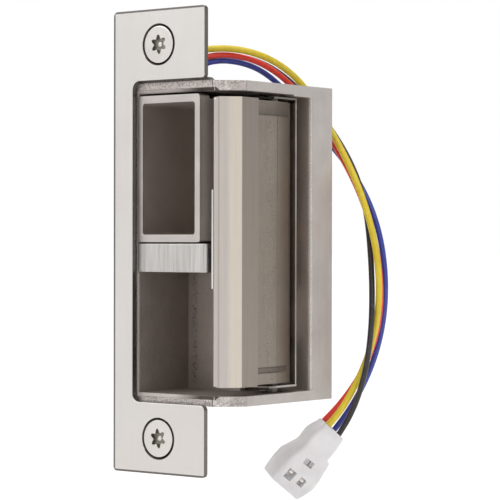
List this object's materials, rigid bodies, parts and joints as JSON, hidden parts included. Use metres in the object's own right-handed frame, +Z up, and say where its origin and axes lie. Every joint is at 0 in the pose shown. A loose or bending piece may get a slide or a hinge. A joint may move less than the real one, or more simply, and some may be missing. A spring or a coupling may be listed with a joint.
{
  "type": "electric door strike",
  "caption": "Electric strike with a flat faceplate, cast box, deadbolt pocket, swinging keeper on an upright pin, inner solenoid lock and a wire pigtail ending in a square plug.",
  "frame": {"origin": "middle of the faceplate's rear (seating) face", "axes": "+X towards the keeper side, +Y back into the door frame, +Z up along the faceplate"},
  "size_m": [0.0528, 0.0587, 0.1339],
  "materials": {
    "faceplate_steel": "satin",
    "screw_steel": "satin",
    "cast_housing": "satin cast, fine grain",
    "cover_steel": "satin",
    "keeper_steel": "satin cast",
    "wear_plate_steel": "brushed",
    "bracket_steel": "satin sheet",
    "pin_steel": "ground",
    "bushing_bronze": "sintered",
    "spring_steel": "drawn wire",
    "pocket_steel": "satin sheet",
    "block_steel": "brushed upright",
    "zinc_steel": "zinc plated",
    "bobbin_plastic": "moulded",
    "copper_winding": "enamelled wire",
    "plunger_steel": "nickel plated",
    "lever_steel": "hardened",
    "grommet_rubber": "moulded",
    "wire_yellow": "extruded insulation",
    "wire_red": "extruded insulation",
    "wire_blue": "extruded insulation",
    "wire_black": "extruded insulation",
    "connector_nylon": "natural nylon, slightly translucent",
    "contact_tin": "tin plated"
  },
  "bodies": {
    "frame": {"faceplate": "faceplate_steel", "faceplate_screw_top": "screw_steel", "faceplate_screw_bottom": "screw_steel", "housing": "cast_housing", "rear_cover": "cover_steel", "rear_cover_screw_top_left": "screw_steel", "rear_cover_screw_top_right": "screw_steel", "rear_cover_screw_bottom_left": "screw_steel", "rear_cover_screw_bottom_right": "screw_steel", "keeper_hinge_bracket": "bracket_steel", "keeper_pivot_pin": "pin_steel", "pivot_bushing_upper": "bushing_bronze", "pivot_bushing_lower": "bushing_bronze", "keeper_return_spring": "spring_steel", "deadbolt_pocket": "pocket_steel", "deadlatch_block": "block_steel", "deadlatch_block_screw": "screw_steel", "solenoid_frame": "zinc_steel", "solenoid_bobbin": "bobbin_plastic", "coil_winding_lower": "copper_winding", "coil_winding_upper": "copper_winding", "solenoid_core": "zinc_steel", "lever_bracket": "zinc_steel", "locking_lever_pin": "pin_steel", "plunger_spring": "spring_steel", "solenoid_screw_upper": "screw_steel", "solenoid_screw_lower": "screw_steel", "wire_grommet": "grommet_rubber", "wire_yellow": "wire_yellow", "wire_red": "wire_red", "wire_blue": "wire_blue", "wire_black": "wire_black", "connector_housing": "connector_nylon", "contact_yellow": "contact_tin", "contact_red": "contact_tin", "contact_blue": "contact_tin", "contact_black": "contact_tin"},
    "keeper": {"keeper": "keeper_steel", "keeper_wear_plate": "wear_plate_steel"},
    "plunger": {"plunger": "plunger_steel", "plunger_link_pin": "pin_steel"},
    "lever": {"locking_lever": "lever_steel"}
  },
  "joints": [
    {"name": "keeper_swing", "type": "hinge", "parent": "frame", "child": "keeper", "pos_m": [0.018, 0.025, 0], "axis": [0, 0, 1], "range_deg": [0, 70], "stiffness_Nm_per_rad": 0.06, "springref_deg": -68.75, "deforming": ["keeper_return_spring"]},
    {"name": "plunger_travel", "type": "slide", "parent": "frame", "child": "plunger", "axis": [0, 0, -1], "range_m": [0, 0.0043], "stiffness_N_per_m": 300, "springref_m": -0.003, "deforming": ["plunger_spring"]},
    {"name": "lever_swing", "type": "hinge", "parent": "frame", "child": "lever", "pos_m": [0.005, 0.0316, 0], "axis": [0, -1, 0], "range_deg": [0, 36]}
  ],
  "couplings": [
    {"joint": "lever_swing", "follows": "plunger_travel", "rad_per_m": 146}
  ]
}
